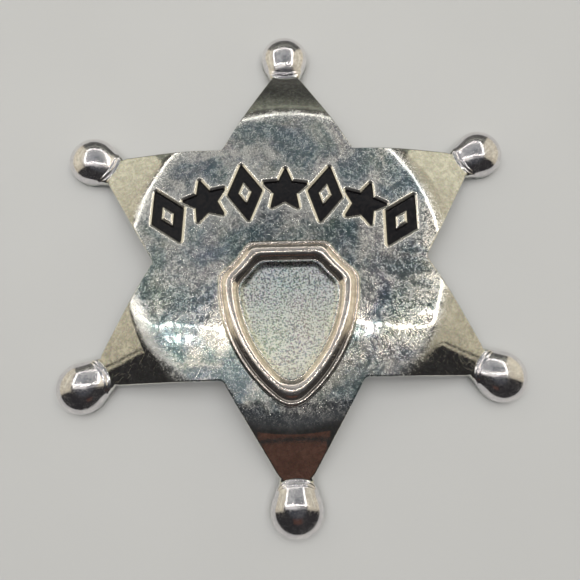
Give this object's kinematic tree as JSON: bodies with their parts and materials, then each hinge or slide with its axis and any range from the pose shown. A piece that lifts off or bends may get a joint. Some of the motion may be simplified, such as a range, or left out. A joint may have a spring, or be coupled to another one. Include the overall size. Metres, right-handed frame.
{
  "type": "sheriff star badge",
  "caption": "Star badge struck from one metal sheet, with a hollow domed tip on every point, a raised shield frame, a row of black enamelled motifs and a plain pin on its hollow back.",
  "frame": {"origin": "under the centre of the star, on the plane that the tips rest on", "axes": "+Z out of the face, +Y towards the top arm, above the row of motifs"},
  "size_m": [0.0668, 0.076, 0.0064],
  "materials": {
    "plate_metal": "worn bright nickel plate with fine scratches and cloudy tarnish",
    "black_enamel": "glossy black enamel, set below the face",
    "pin_metal": "plain nickel-plated steel"
  },
  "bodies": {
    "root": {"star_plate": "plate_metal", "pin_back": "pin_metal", "enamel_1": "black_enamel", "enamel_2": "black_enamel", "enamel_3": "black_enamel", "enamel_4": "black_enamel", "enamel_5": "black_enamel", "enamel_6": "black_enamel", "enamel_7": "black_enamel"}
  },
  "joints": []
}
